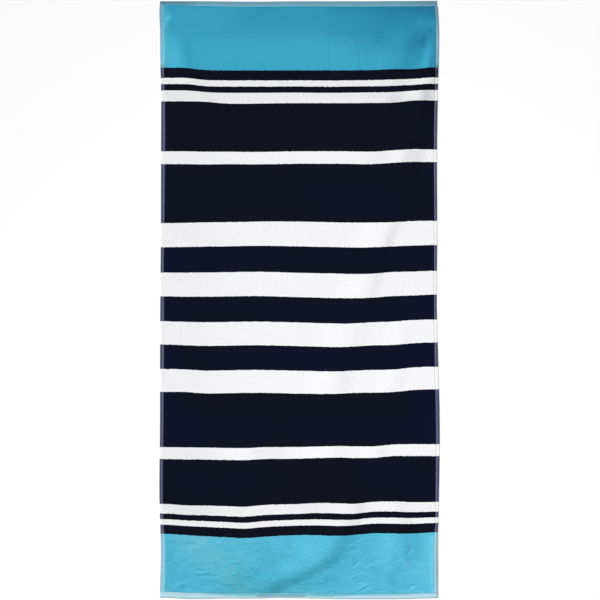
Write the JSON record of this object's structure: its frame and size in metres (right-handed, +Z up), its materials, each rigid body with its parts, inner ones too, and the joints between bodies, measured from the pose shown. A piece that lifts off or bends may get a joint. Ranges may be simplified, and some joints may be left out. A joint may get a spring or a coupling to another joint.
{
  "type": "beach towel",
  "caption": "Long rectangular terry beach towel laid out flat, striped across its width, with folded hems on all four sides.",
  "frame": {"origin": "centre of the towel's underside, on the surface it lies on", "axes": "+Y along the towel's length towards the head end, +X to the right as seen from above, +Z up out of the pile"},
  "size_m": [0.7044, 1.5042, 0.0121],
  "materials": {
    "terry_cotton": "sheared cotton terry, matt: navy and white stripes between turquoise ends, with flat-woven hems"
  },
  "bodies": {
    "root": {"towel": "terry_cotton"}
  },
  "joints": []
}
